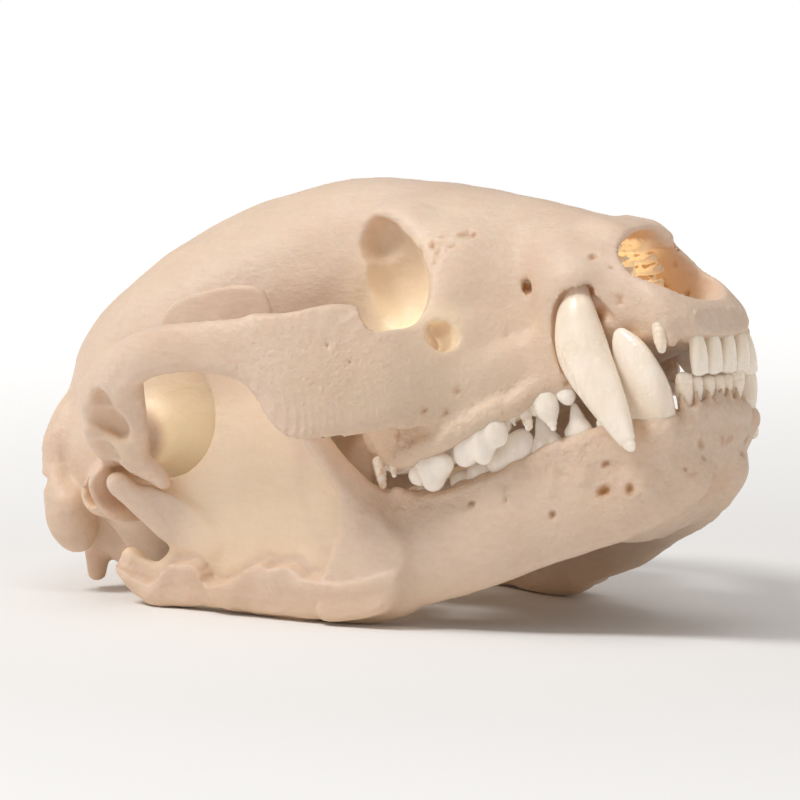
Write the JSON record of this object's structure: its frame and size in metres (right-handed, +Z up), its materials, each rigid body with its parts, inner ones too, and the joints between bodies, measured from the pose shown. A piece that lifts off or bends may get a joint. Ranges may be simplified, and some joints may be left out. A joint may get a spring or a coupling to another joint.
{
  "type": "raccoon skull",
  "caption": "Cleaned raccoon skull with its lower jaw closed, full set of teeth in their sockets, resting on the jaw's lower borders.",
  "frame": {"origin": "on the resting surface, under the middle of the outer box", "axes": "+X towards the nose, +Z up, the animal's right side is -Y"},
  "size_m": [0.1177, 0.0799, 0.0613],
  "materials": {
    "bone_cranium": "dry bone, faintly waxy",
    "bone_mandible": "dry bone, faintly waxy",
    "tooth_enamel": "glossy enamel"
  },
  "bodies": {
    "root": {"cranium": "bone_cranium", "mandible": "bone_mandible", "upper_right_incisor_1": "tooth_enamel", "upper_right_incisor_2": "tooth_enamel", "upper_right_incisor_3": "tooth_enamel", "upper_right_canine": "tooth_enamel", "upper_right_premolar_1": "tooth_enamel", "upper_right_premolar_2": "tooth_enamel", "upper_right_premolar_3": "tooth_enamel", "upper_right_premolar_4": "tooth_enamel", "upper_right_molar_1": "tooth_enamel", "upper_right_molar_2": "tooth_enamel", "upper_left_incisor_1": "tooth_enamel", "upper_left_incisor_2": "tooth_enamel", "upper_left_incisor_3": "tooth_enamel", "upper_left_canine": "tooth_enamel", "upper_left_premolar_1": "tooth_enamel", "upper_left_premolar_2": "tooth_enamel", "upper_left_premolar_3": "tooth_enamel", "upper_left_premolar_4": "tooth_enamel", "upper_left_molar_1": "tooth_enamel", "upper_left_molar_2": "tooth_enamel", "lower_right_incisor_1": "tooth_enamel", "lower_right_incisor_2": "tooth_enamel", "lower_right_incisor_3": "tooth_enamel", "lower_right_canine": "tooth_enamel", "lower_right_premolar_1": "tooth_enamel", "lower_right_premolar_2": "tooth_enamel", "lower_right_premolar_3": "tooth_enamel", "lower_right_premolar_4": "tooth_enamel", "lower_right_molar_1": "tooth_enamel", "lower_right_molar_2": "tooth_enamel", "lower_left_incisor_1": "tooth_enamel", "lower_left_incisor_2": "tooth_enamel", "lower_left_incisor_3": "tooth_enamel", "lower_left_canine": "tooth_enamel", "lower_left_premolar_1": "tooth_enamel", "lower_left_premolar_2": "tooth_enamel", "lower_left_premolar_3": "tooth_enamel", "lower_left_premolar_4": "tooth_enamel", "lower_left_molar_1": "tooth_enamel", "lower_left_molar_2": "tooth_enamel"}
  },
  "joints": []
}
